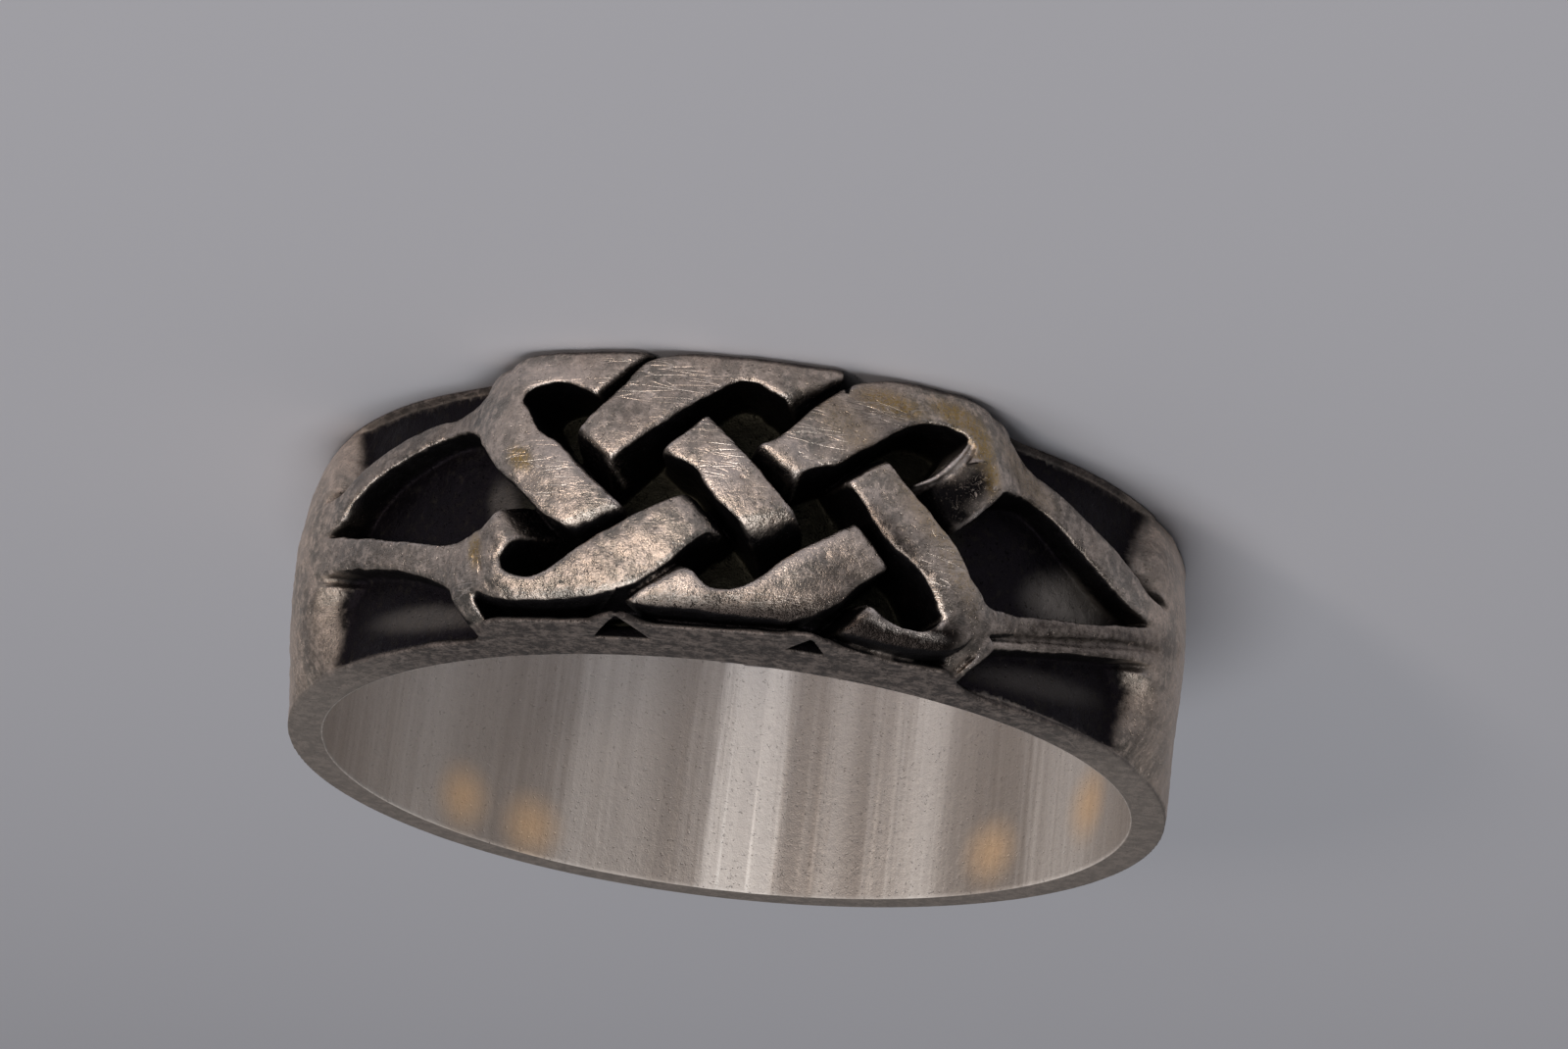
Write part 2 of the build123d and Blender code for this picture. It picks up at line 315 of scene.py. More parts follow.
# Struts from the knot's corners to the tips of the windows: the window's side first, then the outer side.
STRUTS = {
    "near_right_strut": [
        (5.00, 0.95, 5.10, 2.45, 0.97),
        (5.45, 1.20, 5.50, 2.35, 1.00),
        (5.95, 1.46, 5.95, 2.10, 1.00),
        (6.75, 1.29, 6.85, 1.76, 1.00),
        (7.50, 1.13, 7.75, 1.50, 1.00),
        (9.02, 0.84, 9.30, 1.15, 1.00),
        (10.40, 0.50, 10.60, 0.82, 1.00),
        (11.70, 0.14, 11.80, 0.60, 1.00),
        (13.20, -0.40, 13.20, 0.50, 0.96),
        (14.50, -0.40, 14.50, 0.50, 0.62),
    ],
    "near_right_lip": [
        (6.15, 2.10, 6.35, 2.30, 0.92),
        (6.55, 1.96, 6.62, 2.15, 0.90),
        (7.35, 1.72, 7.40, 1.92, 0.90),
        (8.25, 1.53, 8.28, 1.72, 0.90),
        (9.20, 1.32, 9.24, 1.52, 0.91),
        (10.65, 0.98, 10.70, 1.20, 0.93),
        (11.75, 0.70, 11.80, 0.98, 0.96),
        (13.20, 0.30, 13.20, 1.00, 0.96),
        (14.50, 0.30, 14.50, 1.00, 0.62),
    ],
    "near_right_seam": [
        (6.10, 1.90, 6.35, 2.25, 0.80),
        (6.70, 1.60, 6.60, 2.10, 0.80),
        (7.60, 1.35, 7.40, 1.85, 0.81),
        (9.20, 1.00, 9.22, 1.45, 0.82),
        (10.60, 0.70, 10.68, 1.12, 0.84),
        (11.75, 0.45, 11.80, 0.90, 0.88),
        (13.20, 0.40, 13.20, 0.80, 0.92),
    ],
    "near_left_strut": [
        (-4.95, 0.85, -5.10, 2.50, 0.97),
        (-5.35, 1.02, -5.45, 2.45, 1.00),
        (-5.93, 1.11, -5.98, 2.34, 1.00),
        (-6.64, 1.07, -6.62, 2.12, 1.00),
        (-7.30, 0.93, -7.05, 1.88, 1.00),
        (-7.95, 0.77, -7.85, 1.57, 1.00),
        (-9.62, 0.46, -9.30, 1.23, 1.00),
        (-11.37, 0.10, -11.00, 0.99, 1.00),
        (-13.20, -0.40, -13.20, 0.95, 0.96),
        (-14.50, -0.40, -14.50, 0.95, 0.62),
    ],
    "far_left_strut": [
        (-5.50, -0.70, -5.60, -2.50, 0.97),
        (-6.15, -1.25, -6.10, -2.30, 1.00),
        (-6.80, -1.55, -6.75, -2.14, 1.00),
        (-7.51, -1.62, -7.50, -2.12, 1.00),
        (-8.13, -1.54, -8.20, -2.08, 1.00),
        (-9.00, -1.30, -9.10, -1.90, 1.00),
        (-9.90, -1.03, -9.90, -1.66, 1.00),
        (-10.73, -0.60, -10.80, -1.36, 1.00),
        (-11.30, -0.12, -11.60, -0.98, 1.00),
        (-13.20, 0.40, -13.20, -0.90, 0.96),
        (-14.50, 0.40, -14.50, -0.90, 0.62),
    ],
    "far_right_strut": [
        (5.70, -1.00, 5.90, -2.80, 0.97),
        (6.22, -1.20, 6.42, -2.60, 1.00),
        (6.90, -1.38, 7.00, -2.36, 1.00),
        (7.51, -1.38, 7.85, -2.10, 1.00),
        (8.14, -1.17, 8.75, -1.78, 1.00),
        (8.90, -0.80, 9.45, -1.53, 1.00),
        (9.70, -0.45, 10.20, -1.25, 1.00),
        (10.60, -0.12, 11.04, -0.92, 1.00),
        (11.60, 0.06, 11.90, -0.56, 1.00),
        (13.20, 0.40, 13.20, -0.60, 0.96),
        (14.50, 0.40, 14.50, -0.60, 0.62),
    ],
}

# Corner walls from the knot down to the rims: the knot's side first, then the outer side.
CORNERS = {
    "near_left_corner": [
        (-5.50, 1.95, -6.75, 1.90, 0.98),
        (-5.66, 2.30, -6.58, 2.32, 1.00),
        (-5.52, 2.75, -6.24, 2.76, 0.97),
        (-5.34, 3.03, -6.00, 3.03, 0.84),
    ],
    "near_right_corner": [
        (6.15, 2.05, 6.50, 2.20, 0.97),
        (5.98, 2.40, 6.20, 2.52, 0.97),
        (5.74, 2.76, 5.92, 2.84, 0.96),
        (5.54, 3.03, 5.76, 3.03, 0.88),
    ],
    "near_right_slope": [
        (5.00, 2.10, 6.20, 2.10, 0.95),
        (5.05, 2.40, 6.08, 2.40, 0.90),
        (5.15, 2.70, 5.90, 2.70, 0.80),
        (5.25, 3.03, 5.70, 3.03, 0.70),
    ],
    "far_left_corner": [
        (-5.00, -2.30, -6.25, -2.20, 0.98),
        (-5.05, -2.60, -6.25, -2.60, 0.95),
        (-5.10, -2.85, -6.20, -2.85, 0.85),
        (-5.20, -3.03, -6.15, -3.03, 0.66),
    ],
    "far_right_corner": [
        (5.10, -2.30, 6.45, -2.20, 0.98),
        (5.15, -2.60, 6.45, -2.60, 0.97),
        (5.20, -2.85, 6.45, -2.85, 0.90),
        (5.30, -3.03, 6.40, -3.03, 0.74),
    ],
}

# Burr left by the graver on the lower edge of the right corner's pit.
SCRAPED_LIP = [
    (4.98, -1.84, 4.90, -1.92, 0.93),
    (4.82, -1.52, 4.72, -1.60, 0.92),
    (4.58, -1.18, 4.48, -1.28, 0.86),
    (4.28, -0.90, 4.20, -1.00, 0.80),
    (3.90, -0.68, 3.82, -0.78, 0.74),
]

# Outlines of the rims, as along and height over the bore. The near one has a raised lip over each notch.
NEAR_RIM = [
    (-13.2, 0.90), (-11.0, 0.98), (-9.0, 1.02), (-7.6, 1.06), (-6.8, 0.98), (-6.3, 1.05), (-5.85, 1.45),
    (-5.4, 2.05), (-5.0, 2.18), (-4.4, 2.15), (-3.7, 2.10), (-2.95, 2.12), (-2.65, 2.35), (-2.15, 2.66),
    (-1.75, 2.28), (-1.5, 2.06), (-0.7, 2.04), (0.2, 2.12), (0.9, 2.22), (1.4, 2.30), (1.6, 2.44),
    (2.0, 2.54), (2.35, 2.30), (2.7, 2.10), (3.3, 1.92), (4.0, 1.80), (4.8, 1.84), (5.2, 1.92),
    (5.6, 1.60), (6.0, 1.22), (6.6, 0.95), (7.2, 0.88), (8.6, 0.90), (10.0, 0.94), (11.5, 0.98), (13.2, 0.90),
]
FAR_RIM = [
    (-13.2, 0.90), (-10.0, 0.95), (-7.4, 0.90), (-6.6, 1.05), (-6.0, 1.45), (-5.5, 1.80), (-4.8, 1.95),
    (-3.6, 1.95), (-2.9, 1.80), (-2.4, 1.66), (-1.8, 1.80), (-1.0, 1.98), (0.0, 2.00), (1.0, 1.98),
    (1.7, 1.85), (2.2, 1.68), (2.8, 1.85), (3.6, 1.98), (4.8, 2.00), (5.5, 1.90), (6.1, 1.50), (6.8, 1.05),
    (7.6, 0.88), (10.0, 0.92), (13.2, 0.90),
]

# Section of a rim, from the knot's side to its outer face: distance in from the face, and drop.
RIM_SECTION = [
    (0.30, 1.20), (0.24, 0.60), (0.19, 0.28), (0.13, 0.10), (0.07, 0.01), (0.02, 0.01), (0.0, 0.07),
]


def rim(name, side, outline):
    """The thin upright rim along one side of the band's front, side 1 the near one."""
    last = len(RIM_SECTION) - 1

    def place(s, t):
        along, height = between(outline, s)
        inward, drop = RIM_SECTION[round(t * last)]
        return along, side * (half_band - inward), max(height - drop, foot_height + 0.02)

    return raised(name, (len(outline) - 1) * 6, last, place)


def sleeve():
    """The inner sleeve, whole round the bore: its outside is the floor of every recess."""
    def place(s, t):
        return (s - 0.5) * 2 * half_round, (t - 0.5) * band_width, floor_height

    return raised("sleeve", 260, 4, place, foot=0)


# Where the fields beside the struts end and the shank begins: across and along, on the right and the left.
SHANK_FRONT_RIGHT = [
    (-3.05, 12.0), (-2.1, 11.6), (-1.5, 11.0), (-0.9, 10.9), (-0.4, 12.0), (0.3, 12.6), (0.7, 11.4),
    (1.1, 10.9), (1.5, 11.5), (2.0, 11.6), (2.5, 11.3), (3.05, 11.0),
]
SHANK_FRONT_LEFT = [
    (-3.05, 11.7), (-2.3, 11.7), (-1.5, 11.0), (-0.9, 11.0), (-0.4, 12.2), (0.2, 12.7), (0.7, 11.2),
    (1.05, 10.6), (1.4, 11.2), (2.2, 11.2), (3.05, 11.1),
]


def shank(name, side, front):
    """Half of the plain shank: from the end of the fields, down the shoulder's taper, round to the back."""
    def place(s, t):
        across = math.sin((t - 0.5) * math.pi) * half_band
        start = np.interp(across, [row[0] for row in front], [row[1] for row in front])
        along = start + (half_round - start) * s
        tapered = min(1, max(0, (along - shank_start) / (taper_end - shank_start)))
        middle = shank_height + (shoulder_height - shank_height) * (1 + math.cos(math.pi * tapered)) / 2
        share = abs(across) / half_band
        height = middle - (middle - shank_edge_height) * (0.8 * share**2 + 0.2 * share**8)
        rise = min(1, (along - start) / field_run_out)
        height = floor_height - 0.03 + (height - floor_height + 0.03) * rise * rise * (3 - 2 * rise)
        return side * along, across, height

    return raised(name, 160, 24, place)


# Small three-cornered holes in the rims' high part, as along and height of each corner.
NOTCHES = [
    ((-3.05, 1.10), (-2.14, 2.58), (-1.62, 1.08)),
    ((1.55, 1.34), (2.02, 2.32), (2.52, 1.32)),
]
notch_depth = 0.60
cutter_overlap = 0.1


def notch_cutter():
    """All four notches as one cutter, the far ones the near ones turned half round."""
    cutters = []
    for side in (1, -1):
        for corners in NOTCHES:
            bpy.ops.object.select_all(action="DESELECT")
            bpy.ops.mesh.primitive_circle_add(vertices=3, fill_type="NGON")
            cutter = bpy.context.object
            bpy.ops.object.mode_set(mode="EDIT")
            mesh = bmesh.from_edit_mesh(cutter.data)
            for vertex, (along, height) in zip(mesh.verts, corners):
                across = side * (half_band + cutter_overlap)
                vertex.co = (-side * along, across, height - length_circle + bore_radius)
            bpy.ops.mesh.select_all(action="SELECT")
            bpy.ops.mesh.extrude_region_move(
                TRANSFORM_OT_translate={"value": (0, -side * (notch_depth + cutter_overlap), 0)})
            bpy.ops.mesh.select_all(action="SELECT")
            bpy.ops.mesh.normals_make_consistent(inside=False)
            bpy.ops.object.mode_set(mode="OBJECT")
            cutters.append(cutter)
    return joined(cutters, "notch_cutter")


def joined(pieces, name):
    bpy.ops.object.select_all(action="DESELECT")
    for piece in pieces:
        piece.select_set(True)
    bpy.context.view_layer.objects.active = pieces[0]
    bpy.ops.object.join()
    piece = bpy.context.object
    piece.name = name
    return piece


def apply(piece, kind, **settings):
    """Adds a modifier of that kind and applies it."""
    bpy.ops.object.select_all(action="DESELECT")
    piece.select_set(True)
    bpy.context.view_layer.objects.active = piece
    modifier = piece.modifiers.new(kind.lower(), kind)
    for name, value in settings.items():
        setattr(modifier, name, value)
    bpy.ops.object.modifier_apply(modifier=modifier.name)


def laid_out():
    """Every form of the ring, laid out flat and joined."""
    forms = [sleeve(), shank("right_shank", 1, SHANK_FRONT_RIGHT), shank("left_shank", -1, SHANK_FRONT_LEFT)]
    forms += [strand(name, rows) for name, rows in STRUTS.items()]
    forms += [strand(name, rows) for name, rows in CORNERS.items()]
    forms.append(strand("scraped_lip", SCRAPED_LIP))
    cut = [
        rim("near_rim", 1, NEAR_RIM),
        rim("far_rim", -1, FAR_RIM),
        strand("middle_strand", MIDDLE_STRAND),
        strand("cross_strand", CROSS_STRAND),
        strand("far_bump_strand", FAR_BUMP_STRAND),
        strand("near_bump_strand", NEAR_BUMP_STRAND),
    ]
    cutter = notch_cutter()
    for form in cut:
        apply(form, "BOOLEAN", operation="DIFFERENCE", solver="EXACT", object=cutter)
    bpy.data.objects.remove(cutter)
    return joined(forms + cut, "knot_ring_silver")


def bent_round(ring):
    """Bends the flat band round its bore and closes the seam at the back."""
    bpy.ops.object.mode_set(mode="EDIT")
    mesh = bmesh.from_edit_mesh(ring.data)
    for face in mesh.faces:
        face.select = all(abs(v.co.x) > half_round - 1e-4 for v in face.verts)
    bpy.ops.mesh.delete(type="FACE")
    bpy.ops.object.mode_set(mode="OBJECT")
    ring.data.transform(Matrix.Rotation(math.radians(90), 4, "X"))
    apply(ring, "SIMPLE_DEFORM", deform_method="BEND", deform_axis="Z", angle=2 * math.pi)
    ring.data.transform(Matrix.Translation((0, -length_circle, half_band)))
    bpy.ops.object.mode_set(mode="EDIT")
    bpy.ops.mesh.select_all(action="SELECT")
    bpy.ops.mesh.remove_doubles(threshold=1e-4)
    bpy.ops.object.mode_set(mode="OBJECT")


def share_of(value, low, high):
    """0 below low and 1 above high, soft between."""
    share = np.clip((value - low) / (high - low), 0, 1)
    return share * share * (3 - 2 * share)


def corners_of(piece):
    """Places of a piece's vertices, as rows of x, y and z."""
    places = np.empty(len(piece.data.vertices) * 3)
    piece.data.vertices.foreach_get("co", places)
    return places.reshape(-1, 3)


def laid_flat(places):
    """Along, across and height of places on the round ring, in millimetres."""
    along = np.arctan2(-places[:, 0], -places[:, 1]) * length_circle
    across = places[:, 2] - half_band
    height = np.hypot(places[:, 0], places[:, 1]) - bore_radius
    return along, across, height


# Dents and nicks from wear: along, across, turn in degrees, half length, half width and depth.
DENTS = [
    (-3.55, -1.35, 60, 0.22, 0.07, 0.03),
    (-3.30, -0.95, 20, 0.15, 0.06, 0.03),
    (-2.90, -1.95, 35, 0.30, 0.10, 0.02),
    (-4.30, 0.10, 50, 0.20, 0.12, 0.03),
    (-3.75, 0.55, 70, 0.12, 0.08, 0.03),
    (-5.05, -0.35, 40, 0.25, 0.12, 0.03),
    (-5.35, 1.95, 80, 0.20, 0.05, 0.05),
    (-5.10, 2.35, 60, 0.25, 0.06, 0.04),
    (-5.55, 1.75, 85, 0.22, 0.05, 0.05),
    (-1.45, 1.05, 30, 0.30, 0.15, 0.03),
    (-2.30, 1.75, 30, 0.40, 0.12, 0.03),
    (-0.35, -0.55, 10, 0.22, 0.12, 0.04),
    (0.00, -0.25, 15, 0.16, 0.05, 0.04),
    (0.15, -0.10, 15, 0.14, 0.04, 0.04),
    (-0.95, -1.15, 70, 0.20, 0.10, 0.05),
    (0.85, 0.25, 60, 0.14, 0.10, 0.03),
    (2.05, 1.35, 75, 0.16, 0.07, 0.05),
    (2.45, 0.60, 80, 0.14, 0.06, 0.05),
    (1.20, 1.95, 20, 0.30, 0.12, 0.03),
    (0.20, 2.45, 15, 0.25, 0.08, 0.03),
    (3.50, 0.55, 10, 0.10, 0.06, 0.05),
    (3.62, 0.78, 10, 0.10, 0.05, 0.05),
    (3.05, -0.15, 50, 0.20, 0.10, 0.03),
    (4.25, 1.35, 70, 0.20, 0.10, 0.03),
    (2.60, -2.10, 30, 0.08, 0.08, 0.05),
    (3.35, -2.35, 30, 0.07, 0.07, 0.06),
    (3.60, -2.20, 0, 0.06, 0.06, 0.05),
    (4.60, -2.05, 60, 0.25, 0.12, 0.03),
    (5.10, -1.60, 40, 0.20, 0.12, 0.04),
    (-8.60, -1.00, 75, 0.25, 0.06, 0.04),
    (-7.60, -1.25, 70, 0.25, 0.06, 0.04),
    (-6.90, 1.70, 80, 0.25, 0.05, 0.04),
    (-6.40, 1.75, 80, 0.30, 0.06, 0.04),
    (7.40, 1.65, 20, 0.30, 0.07, 0.03),
]


# Where the finish differs or light and shade is painted, each place as along, across, turn in degrees, half
# length, half width and, where it isn't full there, how much.
# Rough black ends of strands that dip under another, with silver showing through in flecks.
ROUGH_ENDS = [
    (-3.12, -0.80, 40, 0.90, 0.36),
    (-4.42, 0.66, 38, 0.80, 0.45),
    (-1.25, -1.18, -46, 0.70, 0.26),
    (0.82, -0.65, 45, 0.90, 0.36),
    (-0.62, 0.70, 38, 0.80, 0.32),
    (4.70, -0.60, -50, 1.10, 0.75),
    (5.20, -1.00, -50, 0.70, 0.45),
]
# Painted light: spots of recess floor painted pale where they catch the light, and purple-grey strips beside
# the near rim painted lighter as a sheen on the floor.
PAINTED_LIT_FLOORS = [
    (9.80, 0.05, -12, 1.90, 0.75, 1.0),
    (8.90, 0.25, 10, 0.90, 0.50, 0.60),
    (-6.20, -0.20, 60, 0.70, 0.45, 0.40),
    (-8.40, 2.26, 4, 2.20, 0.34, 0.42),
    (8.80, 2.22, -6, 2.60, 0.34, 0.20),
]
# Edges scraped or rubbed bare inside and beside the recesses.
BARE_PLACES = [
    (4.72, -1.42, -60, 0.60, 0.17),
    (4.15, -0.86, -35, 0.45, 0.10),
    (5.48, -0.50, -43, 0.62, 0.07),
    (3.95, 2.50, 3, 0.95, 0.08, 0.8),
    (3.15, 2.28, 45, 0.40, 0.08, 0.8),
    (4.74, 2.15, -75, 0.30, 0.07, 0.7),
    (-1.35, 2.26, -38, 0.75, 0.06, 0.7),
    (-3.02, 0.03, 40, 0.75, 0.06, 0.7),
    (-2.55, -0.22, 42, 0.30, 0.07, 0.8),
    (1.32, -0.28, 45, 0.30, 0.07, 0.6),
]
# Places rubbed bright by handling, and painted highlights where the light falls on the tops.
RUBBED_AND_HIGHLIT_PLACES = [
    (-0.30, -0.10, -50, 1.10, 0.45, 0.9),
    (-3.60, -0.30, 45, 1.00, 0.50, 0.7),
    (-4.60, -2.45, 5, 1.40, 0.40, 0.6),
    (1.30, 1.55, -36, 1.40, 0.28, 0.9),
    (-0.60, 2.25, -10, 0.90, 0.30, 0.7),
    (1.25, -0.85, 40, 0.80, 0.22, 0.7),
    (2.60, 0.15, -50, 0.60, 0.30, 0.8),
    (3.90, 1.95, 25, 0.90, 0.16, 0.8),
    (4.95, 1.20, 50, 1.40, 0.34, 0.8),
]
# Duller metal and painted shade: browned struts, the parts of the knot turned away from handling, and places
# painted darker as shade on the right of the knot, on the shank and where a highlight would show.
DULL_AND_SHADED_PLACES = [
    (3.35, 0.72, 40, 1.60, 0.36, 1.0),
    (9.20, 1.36, -9, 3.40, 0.26, 1.0),
    (8.20, -1.05, 22, 2.60, 0.30, 0.8),
    (-9.40, -1.05, -20, 2.40, 0.30, 0.6),
    (-12.20, 2.10, 90, 1.30, 1.10, 0.45),
    (12.40, 2.20, 90, 1.30, 1.10, 0.40),
    (12.30, -1.70, 90, 1.10, 1.00, 0.40),
    (-2.20, -1.30, 40, 0.70, 0.40, 0.35),
    (9.60, 0.95, -11, 4.20, 0.60, 1.0),
    (8.60, -1.45, 14, 3.40, 0.75, 0.55),
    (-9.00, -1.50, -12, 3.40, 0.80, 0.55),
    (-9.80, 0.75, 8, 2.60, 0.60, 0.35),
    (2.30, 2.00, -50, 1.10, 0.60, 0.70),
    (5.60, 2.00, 20, 1.10, 0.55, 0.60),
    (2.80, -2.00, 15, 1.80, 0.80, 0.40),
    (4.90, -1.80, 60, 1.00, 0.60, 0.35),
    (0.20, -2.10, -10, 1.50, 0.55, 0.28),
    (4.00, 0.40, 45, 1.80, 0.40, 0.15),
    (-2.75, 2.00, -36, 1.30, 0.45, 0.22),
    (-5.10, 1.30, 60, 0.80, 0.60, 0.35),
]
# Places with many fine scratches.
SCRATCHED_PLACES = [
    (-1.60, -2.00, 20, 1.80, 0.75),
    (1.40, -1.40, 40, 1.20, 0.60),
    (-4.20, -0.30, 45, 1.10, 0.60),
    (-6.10, 1.50, 80, 1.30, 0.50),
    (-0.30, -0.50, -45, 0.90, 0.40),
    (4.60, 0.90, -55, 1.30, 0.50),
    (3.00, -2.20, 10, 1.00, 0.60),
]
# Yellow tarnish.
YELLOW_PLACES = [
    (5.20, -1.95, 60, 0.75, 0.45),
    (4.70, -2.35, 20, 0.90, 0.35),
    (4.40, 0.35, 44, 1.70, 0.40, 0.5),
    (2.20, -1.60, 40, 1.40, 0.50, 0.35),
    (6.90, -1.90, 20, 1.40, 0.50, 0.45),
    (3.10, -2.35, 10, 0.90, 0.35),
    (5.60, -1.35, 70, 0.50, 0.30),
    (4.95, 1.20, 50, 1.20, 0.35, 0.5),
    (-5.55, 1.55, 80, 0.45, 0.25),
    (-4.55, -0.35, 45, 0.40, 0.25),
]


def from_spot(along, across, at_along, at_across, turn, half_length, half_width):
    """How far places are from the middle of a turned oval: 0 at its middle and 1 on its outline."""
    c = math.cos(math.radians(turn))
    s = math.sin(math.radians(turn))
    on = ((along - at_along) * c + (across - at_across) * s) / half_length
    over = ((across - at_across) * c - (along - at_along) * s) / half_width
    return np.hypot(on, over)


def patched(along, across, spots):
    """How much each place lies in the spots: 1 at a spot's middle, or its own last number, and 0 outside."""
    found = np.zeros(len(along))
    for spot in spots:
        amount = spot[5] if len(spot) > 5 else 1
        share = 1 - share_of(from_spot(along, across, *spot[:5]), 0.30, 1.25)
        found = np.maximum(found, share * amount)
    return found


def dent(ring):
    """Presses the dents into the strands' tops."""
    places = corners_of(ring)
    along, across, height = laid_flat(places)
    sunk = crowned(along, across) - height
    pressed = np.zeros(len(places))
    for *spot, depth in DENTS:
        pressed += depth * np.exp(-from_spot(along, across, *spot)**2)
    pressed *= 1 - share_of(sunk, 0.3, 0.5)
    radius = height + bore_radius
    places[:, 0] *= (radius - pressed) / radius
    places[:, 1] *= (radius - pressed) / radius
    ring.data.vertices.foreach_set("co", places.ravel())
    ring.data.update()


def unevenness(ring):
    """A worn casting's low waves over the front, none on the rims' faces or in the bore."""
    places = corners_of(ring)
    along, across, height = laid_flat(places)
    front = ring.vertex_groups.new(name="front")
    weight = share_of(height, 0.45, 0.7) * (1 - share_of(np.abs(across), half_band - 0.12, half_band - 0.02))
    weight = np.round(weight * 4) / 4
    for level in (0.25, 0.5, 0.75, 1.0):
        front.add(np.flatnonzero(weight == level).tolist(), level, "REPLACE")
    for name, size, strength in (("broad_waves", 1.1, 0.10), ("small_waves", 0.32, 0.035)):
        waves = bpy.data.textures.new(name, "CLOUDS")
        waves.noise_scale = size
        apply(ring, "DISPLACE", texture=waves, strength=strength, mid_level=0.5, vertex_group="front")
    ring.vertex_groups.clear()


def spread(values, edges, times):
    """Evens out values over the mesh, from neighbour to neighbour."""
    count = np.bincount(edges.ravel(), minlength=len(values))
    for _ in range(times):
        total = np.bincount(edges[:, 0], weights=values[edges[:, 1]], minlength=len(values))
        total += np.bincount(edges[:, 1], weights=values[edges[:, 0]], minlength=len(values))
        values = 0.5 * values + 0.5 * total / np.maximum(count, 1)
    return values


def edge_bends(places, normals, edges):
    """How much each place stands out as an edge."""
    step = places[edges[:, 1]] - places[edges[:, 0]]
    length = np.linalg.norm(step, axis=1) + 1e-6
    count = np.bincount(edges.ravel(), minlength=len(places))
    bend = np.zeros(len(places))
    for end, way in ((0, -1), (1, 1)):
        bends = way * (step * normals[edges[:, end]]).sum(axis=1) / length**2
        bend += np.bincount(edges[:, end], weights=bends, minlength=len(places))
    return spread(bend / np.maximum(count, 1), edges, 2)


# Turn from one ray to the next that spreads any number of rays evenly, in radians.
golden_turn = 2.399963


def hollowness(ring, chosen, reach=1.1, rays=20):
    """How much of the sky over each chosen vertex is closed off by metal nearby."""
    tree = BVHTree.FromObject(ring, bpy.context.evaluated_depsgraph_get())
    found = np.zeros(len(ring.data.vertices))
    turns = []
    for index in range(rays):
        slope = math.sqrt((index + 0.5) / rays)
        angle = index * golden_turn
        turns.append(Vector((slope * math.cos(angle), slope * math.sin(angle), math.sqrt(1 - slope**2))))
    up = Vector((0, 0, 1))
    for index in chosen:
        vertex = ring.data.vertices[index]
        turn = up.rotation_difference(vertex.normal)
        start = vertex.co + vertex.normal * 0.02
        closed = 0
        for direction in turns:
            hit = tree.ray_cast(start, turn @ direction, reach)
            if hit[3] is not None:
                closed += 1 - 0.6 * hit[3] / reach
        found[index] = closed / rays
    return found


def keep(mesh, name, values):
    """Keeps one number for each vertex with the mesh."""
    attribute = mesh.attributes.new(name, "FLOAT", "POINT")
    attribute.data.foreach_set("value", values)


def keep_flat(mesh, along, across, height):
    """Keeps the place on the flat band for each face's corners, so that it doesn't jump at the back."""
    loops = np.empty(len(mesh.loops), dtype=np.int64)
    mesh.loops.foreach_get("vertex_index", loops)
    loop_along = along[loops].reshape(-1, 3)
    crossing = (loop_along.max(axis=1) - loop_along.min(axis=1)) > half_round
    crossed = loop_along[crossing]
    loop_along[crossing] = np.where(crossed < 0, crossed + 2 * half_round, crossed)
    flat = np.column_stack((loop_along.ravel(), across[loops], height[loops]))
    attribute = mesh.attributes.new("flat", "FLOAT_VECTOR", "CORNER")
    attribute.data.foreach_set("vector", flat.ravel())


